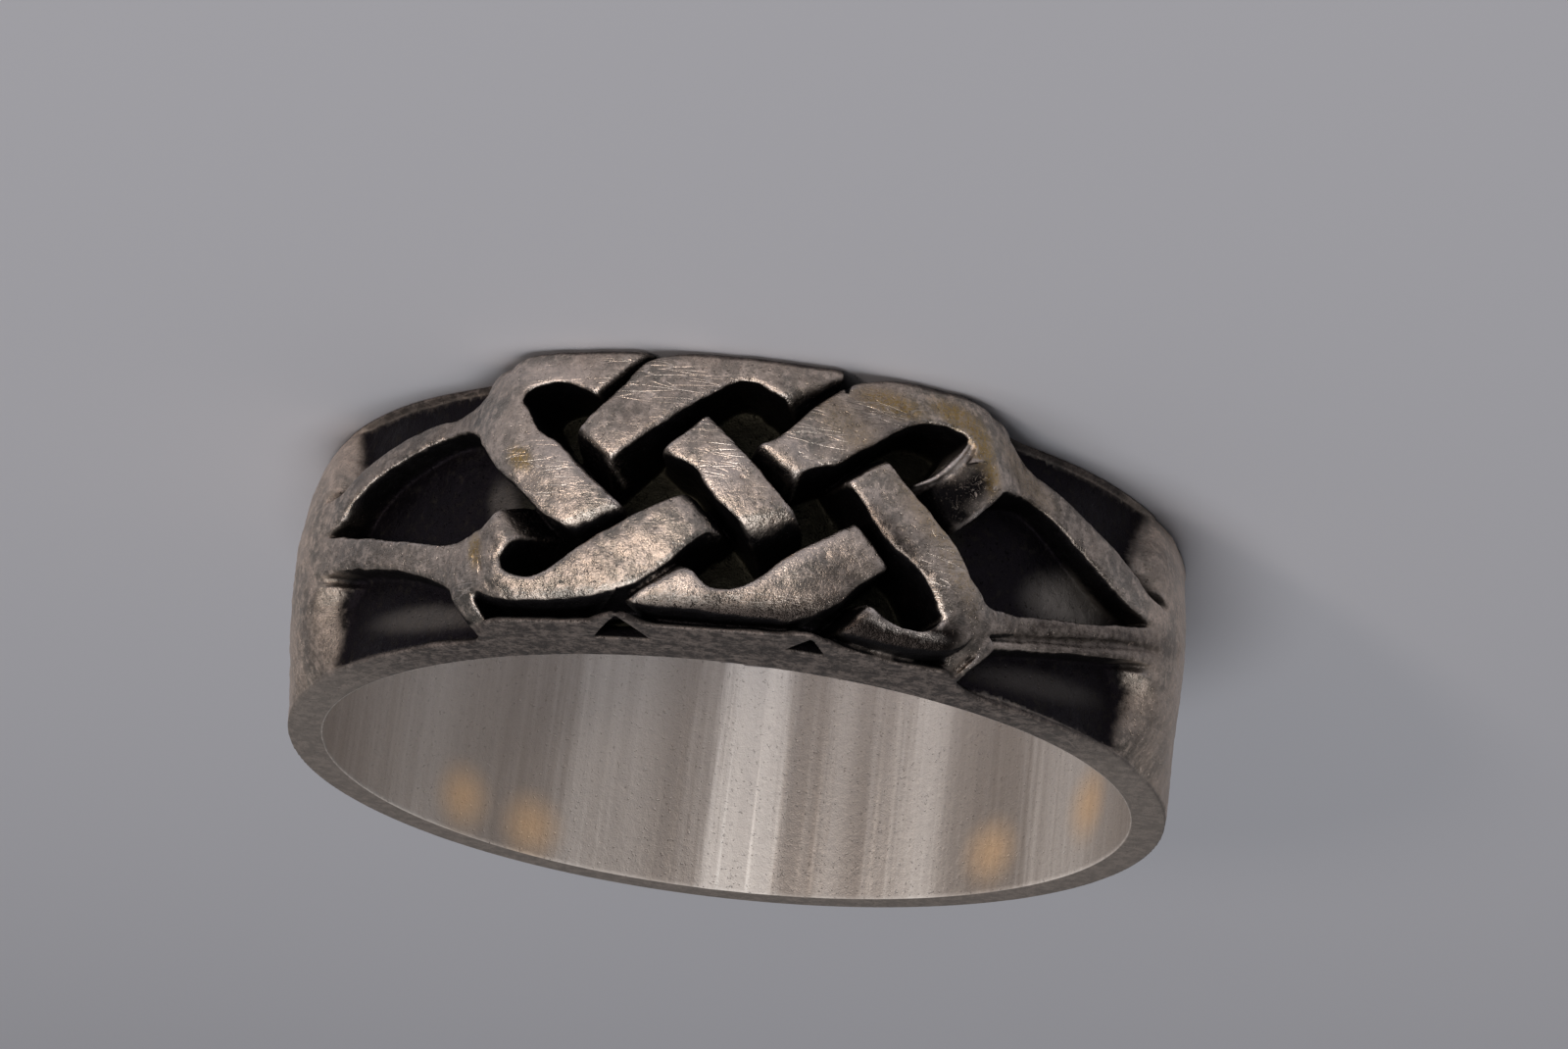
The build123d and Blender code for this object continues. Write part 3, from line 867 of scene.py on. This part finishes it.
# Some spots kept here are painted light and shade: lit recess floors, shaded dull places and highlit handled
# places.
def measure_wear_and_painted_light(ring):
    """Keeps with the mesh where the finish changes. By shape: sunk below the crowned surface, closed in by
    metal nearby, standing out as an edge, steep, or a recess floor. Listed: the spots of the tables. Besides,
    degrees round from the back's middle, and the place on the flat band."""
    mesh = ring.data
    places = corners_of(ring)
    along, across, height = laid_flat(places)
    edges = np.empty(len(mesh.edges) * 2, dtype=np.int64)
    mesh.edges.foreach_get("vertices", edges)
    edges = edges.reshape(-1, 2)
    normals = np.empty(len(mesh.vertices) * 3)
    mesh.vertices.foreach_get("normal", normals)
    normals = normals.reshape(-1, 3)

    outside = height > outside_from
    at_front = 1 - share_of(np.abs(along), shank_start - 0.3, shank_start + 0.6)
    sunk = np.maximum(crowned(along, across) - height, 0) * at_front
    outward = np.column_stack((places[:, 0], places[:, 1], np.zeros(len(places))))
    outward /= np.linalg.norm(outward, axis=1)[:, None]
    steep = 1 - (normals * outward).sum(axis=1)
    steep = spread(steep, edges, 1) * at_front * (np.abs(across) < half_band - 0.10)
    low = 1 - share_of(height, floor_height + 0.05, floor_height + 0.22)
    floors = low * outside * at_front * (1 - share_of(np.abs(across), 2.84, 2.92))
    relief = outside & (np.abs(along) < shank_start + 1.2) & (np.abs(across) < half_band - 0.015)
    closed_in = spread(hollowness(ring, np.flatnonzero(relief).tolist()), edges, 1)

    keep(mesh, "sunk", sunk)
    keep(mesh, "closed_in", closed_in)
    keep(mesh, "edge", edge_bends(places, normals, edges))
    keep(mesh, "steep", steep)
    keep(mesh, "floors", floors)
    keep(mesh, "rough_ends", patched(along, across, ROUGH_ENDS) * outside * share_of(sunk, 0.06, 0.20))
    # Painted light: pale spots and strips on the recess floors.
    keep(mesh, "painted_lit_floors", patched(along, across, PAINTED_LIT_FLOORS) * outside * low)
    keep(mesh, "yellow", patched(along, across, YELLOW_PLACES) * outside)
    # Painted shade, with real browning: the dull places.
    keep(mesh, "dull_and_shaded", patched(along, across, DULL_AND_SHADED_PLACES) * outside)
    # Painted highlights, with real rubbing: the handled places.
    keep(mesh, "handled_and_highlit", patched(along, across, RUBBED_AND_HIGHLIT_PLACES) * outside)
    keep(mesh, "scratched", patched(along, across, SCRATCHED_PLACES) * outside)
    keep(mesh, "bared", patched(along, across, BARE_PLACES) * share_of(height, 1.2, 1.4))
    keep(mesh, "from_back", np.degrees(np.arctan2(-places[:, 0], places[:, 1])))
    keep_flat(mesh, along, across, height)


ring = laid_out()
bent_round(ring)
apply(ring, "REMESH", mode="VOXEL", voxel_size=voxel)
apply(ring, "SMOOTH", factor=0.5, iterations=1)
unevenness(ring)
dent(ring)
apply(ring, "TRIANGULATE")
apply(ring, "DECIMATE", decimate_type="COLLAPSE", ratio=triangles_kept / len(ring.data.polygons))
measure_wear_and_painted_light(ring)
ring.data.transform(Matrix.Scale(MM, 4))
bpy.ops.object.shade_smooth_by_angle(angle=math.radians(52))

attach(ring, "root")
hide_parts("knot_ring")


# Material: worn sterling silver, with painted light and shade in its colour. The short functions below add its
# nodes. Each takes plain numbers or other nodes' outputs.
silver_with_painted_light = bpy.data.materials.new("silver_with_painted_light")
silver_with_painted_light.use_nodes = True
tree = silver_with_painted_light.node_tree
ring.data.materials.append(silver_with_painted_light)


def join(value, socket):
    """Joins another node's output to a socket, or sets the socket to a plain value."""
    if isinstance(value, bpy.types.NodeSocket):
        tree.links.new(value, socket)
    else:
        socket.default_value = value


def node(kind, inputs=(), **settings):
    """A node of that kind with its inputs and settings."""
    made = tree.nodes.new(kind)
    for name, value in settings.items():
        setattr(made, name, value)
    for name, value in dict(inputs).items():
        join(value, made.inputs[name])
    return made


def reckoned(operation, one, other, clamp=False):
    """What a Math node makes of two values."""
    return node("ShaderNodeMath", {0: one, 1: other}, operation=operation, use_clamp=clamp).outputs[0]


def folded(operation, values):
    """A Math node's operation over a row of values, from the first to the last."""
    result = values[0]
    for value in values[1:]:
        result = reckoned(operation, result, value)
    return result


def times(*values):
    return folded("MULTIPLY", values)


def plus(*values):
    return folded("ADD", values)


def most_of(*values):
    return folded("MAXIMUM", values)


def less(one, other, clamp=False):
    return reckoned("SUBTRACT", one, other, clamp)


def without(share):
    return less(1.0, share)


def size_of(value):
    """A number without its sign."""
    return node("ShaderNodeMath", {0: value}, operation="ABSOLUTE").outputs[0]


def changed(value, rate, start):
    """A value times a rate, plus a start."""
    return node("ShaderNodeMath", {0: value, 1: rate, 2: start}, operation="MULTIPLY_ADD").outputs[0]


def ramped(value, low, high, at_low=0.0, at_high=1.0, kind="SMOOTHSTEP"):
    """A soft change from at_low to at_high while the value goes from low to high."""
    inputs = {"Value": value, "From Min": low, "From Max": high, "To Min": at_low, "To Max": at_high}
    return node("ShaderNodeMapRange", inputs, interpolation_type=kind).outputs["Result"]


def faded(value, low, high, at_high=0.0):
    """A soft change down from 1 while the value goes from low to high."""
    return ramped(value, low, high, 1.0, at_high)


def mixed(share, one, other):
    """A colour mixed from two, with the share of the second."""
    made = node("ShaderNodeMix", data_type="RGBA")
    join(share, made.inputs[0])
    join(one, made.inputs[6])
    join(other, made.inputs[7])
    return made.outputs[2]


def speckle(at, scale, detail, roughness=0.55, distortion=0.0):
    """Soft random spots, from 0 to 1 and mostly near a half."""
    return node("ShaderNodeTexNoise", {"Vector": at, "Scale": scale, "Detail": detail, "Roughness": roughness,
                                       "Distortion": distortion}).outputs["Fac"]


def kept(name, output="Fac"):
    """What was kept with the mesh under that name."""
    return node("ShaderNodeAttribute", attribute_name=name).outputs[output]


def vector_of(x, y):
    return node("ShaderNodeCombineXYZ", {0: x, 1: y}).outputs[0]


def stretched(at, rates, starts):
    """A place scaled by rates and moved by starts."""
    return node("ShaderNodeVectorMath", {0: at, 1: rates, 2: starts}, operation="MULTIPLY_ADD").outputs[0]


# Where on the ring: in millimetres, and on the flat band by along, across and height over the bore.
local = node("ShaderNodeTexCoord").outputs["Object"]
place_mm = node("ShaderNodeVectorMath", {0: local, "Scale": 1 / MM}, operation="SCALE").outputs[0]
flat = kept("flat", "Vector")
flat_parts = node("ShaderNodeSeparateXYZ", {0: flat}).outputs
along_band = flat_parts["X"]
over_band = flat_parts["Y"]
over_bore = flat_parts["Z"]
from_middle = size_of(over_band)
from_knot = size_of(along_band)
from_back = kept("from_back")
in_bore = faded(over_bore, 0.01, 0.04)

# Spots of four sizes that the finish is mottled by.
patches = speckle(place_mm, 0.8, 4.0, 0.62, 0.5)
mottle = speckle(place_mm, 4.5, 4.0, 0.68)
fine_mottle = speckle(place_mm, 15.0, 2.5, 0.68)
grain = speckle(place_mm, 26.0, 1.5, 0.7)


def scratches(at, turn, stretch, fineness, width, seed):
    """Thin long scratches in one direction over the band: 1 in a scratch and 0 beside it."""
    turned = node("ShaderNodeMapping",
                  {"Vector": at, "Rotation": (0, 0, math.radians(turn)), "Location": (seed, seed * 1.7, 0),
                   "Scale": (fineness / stretch, fineness, 0.0)}).outputs["Vector"]
    wander = node("ShaderNodeTexNoise", {"Vector": turned, "Scale": 0.7, "Detail": 0.0},
                  noise_dimensions="2D").outputs["Fac"]
    bowed = stretched(wander, (0.3, 0.9, 0), turned)
    from_line = node("ShaderNodeTexVoronoi", {"Vector": bowed, "Scale": 1.0},
                     voronoi_dimensions="2D", feature="DISTANCE_TO_EDGE").outputs["Distance"]
    return times(faded(from_line, 0.0, width), ramped(speckle(turned, 0.45, 1.0), 0.48, 0.62))


def inside_notches():
    """1 inside a notch and 0 outside, from how far in each place is of the notch's three edges."""
    side = node("ShaderNodeMath", {0: over_band}, operation="SIGN").outputs[0]
    along = times(along_band, side)
    shares = []
    for corners in NOTCHES:
        inward = []
        for (a, h), (b, k) in zip(corners, corners[1:] + corners[:1]):
            length = math.hypot(b - a, k - h)
            from_edge = changed(along, (k - h) / length, (h * (b - a) - a * (k - h)) / length)
            inward.append(changed(over_bore, (a - b) / length, from_edge))
        shares.append(ramped(folded("MINIMUM", inward), -0.07, -0.03))
    return most_of(*shares)


# Scratches on the tops: turn in degrees, length to width, how many in a millimetre, a line's width, and seed.
TOP_SCRATCHES = [
    (28, 7, 5.2, 0.10, 0.0),
    (-40, 7, 5.8, 0.09, 3.1),
    (72, 6, 6.2, 0.09, 7.7),
]

# Tones of the tops.
grey_beige = (0.68, 0.57, 0.485, 1)
dull_grey = (0.33, 0.30, 0.265, 1)
pale_beige = (0.92, 0.78, 0.68, 1)
dark_speck = (0.17, 0.14, 0.12, 1)
handled_and_highlit_silver = (0.97, 0.84, 0.76, 1)
yellow_tarnish = (0.55, 0.37, 0.13, 1)
cut_silver = (0.98, 0.86, 0.76, 1)
brown_tarnish_and_shade = (0.115, 0.093, 0.08, 1)

marks = most_of(*[scratches(flat, *row) for row in TOP_SCRATCHES])
marks = times(marks, ramped(kept("scratched"), 0.0, 0.6, 0.22, 1.0))
dull_and_shaded = kept("dull_and_shaded")


def tops_with_wear_and_painted_light():
    """The tops: mottled, handled and painted with highlights, yellowed, scratched, browned and painted darker
    in shade, and more even round the back.
    """
    spotted = ramped(from_knot, 11.0, 16.0, 1.0, 0.3)
    silver = mixed(times(ramped(patches, 0.38, 0.64), spotted), grey_beige, dull_grey)
    silver = mixed(times(ramped(mottle, 0.46, 0.64, 0.0, 0.75), spotted), silver, pale_beige)
    silver = mixed(times(ramped(fine_mottle, 0.50, 0.68, 0.0, 0.4), spotted), silver, dark_speck)
    # Painted highlight and handling wear: lighter silver on the handled places.
    silver = mixed(times(kept("handled_and_highlit"), ramped(patches, 0.3, 0.6, 1.0, 0.6)), silver, handled_and_highlit_silver)
    silver = mixed(times(kept("yellow"), ramped(fine_mottle, 0.38, 0.60, 1.0, 0.35)), silver, yellow_tarnish)
    silver = mixed(times(marks, 0.65), silver, cut_silver)
    # Painted shade and browning: darker brown on the dull places.
    return mixed(times(dull_and_shaded, ramped(mottle, 0.30, 0.62, 1.0, 0.65)), silver, brown_tarnish_and_shade)


# Tones of the rims.
rim_brown = (0.065, 0.053, 0.048, 1)
rim_grey = (0.20, 0.165, 0.148, 1)
rim_black = (0.035, 0.028, 0.025, 1)
rim_end_grey = (0.34, 0.30, 0.27, 1)
rim_cut_grey = (0.30, 0.25, 0.225, 1)

# The rims: their faces all round, and their tops beside the front.
rim_top = times(ramped(from_middle, half_band - 0.20, half_band - 0.12), faded(from_knot, 11.0, 12.5))
on_rim = most_of(ramped(from_middle, half_band - 0.12, half_band - 0.03), rim_top)


def browned_rims():
    """The rims' dark brown, which the near rim loses towards the sides."""
    tone = mixed(ramped(mottle, 0.40, 0.62), rim_brown, rim_grey)
    tone = mixed(ramped(fine_mottle, 0.52, 0.66, 0.0, 0.7), tone, rim_black)
    near_side = ramped(over_band, -0.5, 0.5, 0.2, 1.0)
    tone = mixed(times(ramped(from_knot, 7.0, 14.0, 0.0, 0.5), near_side), tone, rim_end_grey)
    cuts = scratches(vector_of(along_band, over_bore), 8, 12, 5.0, 0.06, 21.0)
    return mixed(times(cuts, 0.7), tone, rim_cut_grey)


# Tones where the tops meet the recesses.
rubbed_silver = (0.93, 0.83, 0.78, 1)
painted_groove_black = (0.035, 0.028, 0.025, 1)
thin_tarnish = (0.10, 0.085, 0.075, 1)
bared_silver = (0.97, 0.87, 0.80, 1)

# Edges are rubbed bright, but not beside the rims and less on dull metal and painted shade.
rubbed = times(ramped(kept("edge"), 0.7, 2.8), faded(from_middle, 2.70, 2.86), faded(dull_and_shaded, 0.2, 0.8, 0.15))

# Painted shade: the side of the groove beside the near rim, on the strands' rounded near edges, painted dark
# as if in shade; it slants a little to the band.
slanted = plus(over_band, times(along_band, 0.06))
near_edge_shade = times(ramped(slanted, 2.20, 2.72), faded(from_middle, half_band - 0.20, half_band - 0.12),
                    faded(from_knot, 5.0, 5.6))

closed_in = kept("closed_in")
bared = kept("bared")
silver = mixed(on_rim, tops_with_wear_and_painted_light(), browned_rims())
silver = mixed(times(rubbed, 0.55), silver, rubbed_silver)
# Painted shade on the strands' near edges beside the groove.
silver = mixed(near_edge_shade, silver, painted_groove_black)
silver = mixed(ramped(plus(closed_in, times(mottle, 0.25)), 0.16, 0.42), silver, thin_tarnish)
silver = mixed(bared, silver, bared_silver)

# Painted reflections: streaks along the bore's brushing, painted lighter and darker as reflections, as degrees
# round from the back's middle and how light each is. The first and last go on as far as the brushing shows.
BORE_REFLECTION_STREAKS = [
    (-90, 0.16), (-80, 0.22), (-66, 0.34), (-54, 0.46), (-46, 0.28), (-38, 0.18), (-32, 0.20), (-25, 0.50),
    (-17, 0.46), (-11, 0.22), (-6, 0.35), (-2.5, 0.95), (4.5, 0.95), (8, 0.22), (10, 0.20), (15, 0.48),
    (18.5, 0.24), (22, 0.36), (30, 0.72), (36, 0.24), (41, 0.14), (47, 0.18), (53, 0.46), (60, 0.56),
    (72, 0.36), (82, 0.24), (90, 0.20),
]
# How light the rest of the bore is, behind the knot.
plain_bore = 0.35
# Painted warm reflections: warm spots in the bore near its upper edge: degrees round from the back's middle,
# across, and size.
WARM_REFLECTION_SPOTS = [(-46, 2.1, 1.0), (-33, 2.3, 1.0), (43, 2.0, 1.0), (66, 1.4, 1.1)]

bore_grey = (0.40, 0.345, 0.305, 1)
bore_reflection_white = (1.0, 0.95, 0.90, 1)
warm_reflection = (1.0, 0.72, 0.46, 1)
streak_place = vector_of(from_back, over_band)


def painted_bore_reflections():
    """How light the bore is: painted reflections in brighter and duller streaks along the brushing, and plain
    behind the knot.
    """
    brushed = node("ShaderNodeMapping", {"Vector": streak_place, "Scale": (0.55, 0.10, 1)}).outputs["Vector"]
    fine_streaks = speckle(brushed, 1.0, 5.0, 0.7)
    wavered = plus(from_back, ramped(fine_streaks, 0.3, 0.7, -1.2, 1.2))
    streaks = node("ShaderNodeValToRGB", {"Fac": ramped(wavered, -90, 90, kind="LINEAR")})
    streaks.color_ramp.interpolation = "EASE"
    stops = streaks.color_ramp.elements
    for turn, lightness in BORE_REFLECTION_STREAKS[1:-1]:
        stops.new((turn + 90) / 180)
    for stop, (turn, lightness) in zip(stops, BORE_REFLECTION_STREAKS):
        stop.color = (lightness, lightness, lightness, 1)
    light = reckoned("ADD", streaks.outputs["Color"], ramped(fine_streaks, 0.3, 0.7, -0.07, 0.07), True)
    return plus(times(less(light, plain_bore), ramped(from_knot, 15.0, 19.0)), plain_bore)


def bore_with_painted_reflections(light):
    """The bore's colour, with its painted reflections and painted warm spots."""
    tone = mixed(light, bore_grey, bore_reflection_white)
    for turn, across, size in WARM_REFLECTION_SPOTS:
        offset = stretched(streak_place, (1 / 6.0, 1, 0), (-turn / 6.0, -across, 0))
        away = node("ShaderNodeVectorMath", {0: offset}, operation="LENGTH").outputs["Value"]
        # Painted warm reflection spot.
        tone = mixed(ramped(away, 0.0, 1.2 * size, 0.9, 0.0), tone, warm_reflection)
    return tone


# Painted reflections: how light the bore's streaks are.
bore_reflection_light = painted_bore_reflections()
silver = mixed(in_bore, silver, bore_with_painted_reflections(bore_reflection_light))

# Inside of the notches, black from behind the rim's face to the notch's end.
notched = times(inside_notches(), faded(from_middle, half_band - 0.07, half_band - 0.02),
                ramped(from_middle, half_band - notch_depth - 0.06, half_band - notch_depth - 0.03))

# Flecks of silver in the rough black ends.
sunk = kept("sunk")
rough_ends = kept("rough_ends")
flecks = ramped(speckle(place_mm, 8.0, 3.5, 0.8, 1.6), 0.55, 0.61)


def black_oxide():
    """How much black oxide there is: deep below the crowned surface, closed in, on steep walls, in rough ends,
    on floors and in notches, less on rubbed edges, and none where it is scraped off or in the bore."""
    uneven = times(less(mottle, 0.5), 0.35)
    by_depth = times(ramped(plus(sunk, uneven), 0.30, 0.60), without(on_rim))
    by_closeness = times(ramped(plus(closed_in, times(uneven, 0.6)), 0.30, 0.50),
                         faded(from_knot, 11.0, 12.2, 0.2))
    by_slope = times(ramped(plus(kept("steep"), times(uneven, 0.8)), 0.34, 0.58), without(on_rim),
                     faded(from_knot, 10.6, 11.8))
    oxide = less(most_of(by_depth, by_closeness, by_slope), times(rubbed, 0.6), True)
    oxide = most_of(oxide, times(rough_ends, without(flecks)))
    oxide = less(oxide, times(flecks, rough_ends, ramped(sunk, 0.5, 1.1, 0.5, 0.0)), True)
    oxide = less(oxide, bared, True)
    return times(most_of(oxide, kept("floors"), notched), without(in_bore))


# Tones of the oxide, and the painted light on the recess floors.
wall_black = (0.008, 0.007, 0.008, 1)
pit_floor = (0.036, 0.034, 0.024, 1)
window_floor = (0.014, 0.011, 0.015, 1)
floor_spot = (0.05, 0.044, 0.036, 1)
painted_floor_light = (0.33, 0.30, 0.27, 1)

oxide = black_oxide()
oxide_and_lit_floor_tone = mixed(ramped(from_knot, 5.2, 6.2), pit_floor, window_floor)
oxide_and_lit_floor_tone = mixed(ramped(mottle, 0.5, 0.75, 0.0, 0.6), oxide_and_lit_floor_tone, floor_spot)
oxide_and_lit_floor_tone = mixed(kept("floors"), wall_black, oxide_and_lit_floor_tone)
# Painted light: the recess floors' pale spots and strips, painted as lit.
oxide_and_lit_floor_tone = mixed(kept("painted_lit_floors"), oxide_and_lit_floor_tone, painted_floor_light)

# Metal everywhere, but less so under oxide, on the browned rims, and in the bore's painted reflection streaks.
metal = less(less(1.0, times(oxide, 0.12)), times(on_rim, 0.60), True)
metal = less(most_of(metal, notched), times(in_bore, ramped(bore_reflection_light, 0.0, 1.0, 0.28, 0.85)))
roughness = plus(ramped(mottle, 0.3, 0.7, 0.24, 0.42), times(oxide, 0.20), times(on_rim, 0.15),
                 ramped(from_knot, 10.0, 12.5, 0.0, 0.22))

# Relief too fine for the mesh: grain, mottle and flecks stand up, and scratches and pits go down.
pits = ramped(speckle(place_mm, 11.0, 1.0, 0.5), 0.66, 0.76)
relief_level = plus(times(grain, 0.5), times(mottle, 1.6), times(flecks, times(rough_ends, 3.0)))
relief_level = less(relief_level, times(marks, without(oxide), without(in_bore), 0.70))
relief_level = less(relief_level, times(pits, 1.2))
relief = node("ShaderNodeBump", {"Strength": 1.0, "Distance": 0.023 * MM, "Height": relief_level})

shader = tree.nodes["Principled BSDF"]
join(mixed(oxide, silver, oxide_and_lit_floor_tone), shader.inputs["Base Color"])
join(metal, shader.inputs["Metallic"])
join(roughness, shader.inputs["Roughness"])
join(relief.outputs["Normal"], shader.inputs["Normal"])

# Floor: plain, pale and matt.
bpy.ops.mesh.primitive_plane_add(size=1.2)
floor = bpy.context.object
floor.name = "floor"
pale = bpy.data.materials.new("pale_floor")
pale.use_nodes = True
pale.node_tree.nodes["Principled BSDF"].inputs["Base Color"].default_value = (0.55, 0.555, 0.60, 1)
pale.node_tree.nodes["Principled BSDF"].inputs["Roughness"].default_value = 0.9
floor.data.materials.append(pale)

# Camera: the photo's angle to the ring, seen with its far rim up, so the camera is rolled half round.
azimuth = -0.0404
elevation = 0.34432
roll = 3.25779
distance = 99.999
target = Vector((-0.65481, 0, band_width - 6.65989))
focal_pixels = 4252.458
photo_width = 1600
back = Vector((math.sin(azimuth) * math.cos(elevation), -math.cos(azimuth) * math.cos(elevation),
               math.sin(elevation)))
level = (-back).cross(Vector((0, 0, 1))).normalized()
upright = level.cross(-back)
right = math.cos(roll) * level + math.sin(roll) * upright
up = -math.sin(roll) * level + math.cos(roll) * upright
lens = bpy.data.cameras.new("camera")
lens.sensor_width = 36
lens.lens = focal_pixels * lens.sensor_width / photo_width
lens.clip_start = 0.001
camera = bpy.data.objects.new("camera", lens)
bpy.context.scene.collection.objects.link(camera)
turned = Matrix((right, up, back)).transposed().to_4x4()
camera.matrix_world = Matrix.Translation((target + distance * back) * MM) @ turned
bpy.context.scene.camera = camera

# Light: a dim room, and soft lights over the floor and in front of the knot.
world = bpy.data.worlds.new("studio")
bpy.context.scene.world = world
world.use_nodes = True
world.node_tree.nodes["Background"].inputs["Color"].default_value = (0.5, 0.5, 0.52, 1)
world.node_tree.nodes["Background"].inputs["Strength"].default_value = 0.25


def soft_light(name, place, size, power, colour=(1, 1, 1)):
    data = bpy.data.lights.new(name, "AREA")
    data.shape = "DISK"
    data.size = size
    data.energy = power
    data.color = colour
    light = bpy.data.objects.new(name, data)
    bpy.context.scene.collection.objects.link(light)
    light.location = place
    light.rotation_euler = (-Vector(place)).to_track_quat("-Z", "Y").to_euler()


soft_light("over_floor", (0.03, -0.09, 0.26), 0.20, 0.33)
soft_light("front_left", (0.16, -0.24, 0.11), 0.05, 0.16, (1.0, 0.86, 0.76))
soft_light("low_front", (0.055, -0.21, 0.04), 0.11, 0.062, (1.0, 0.90, 0.83))
bpy.context.scene.view_settings.view_transform = "Standard"
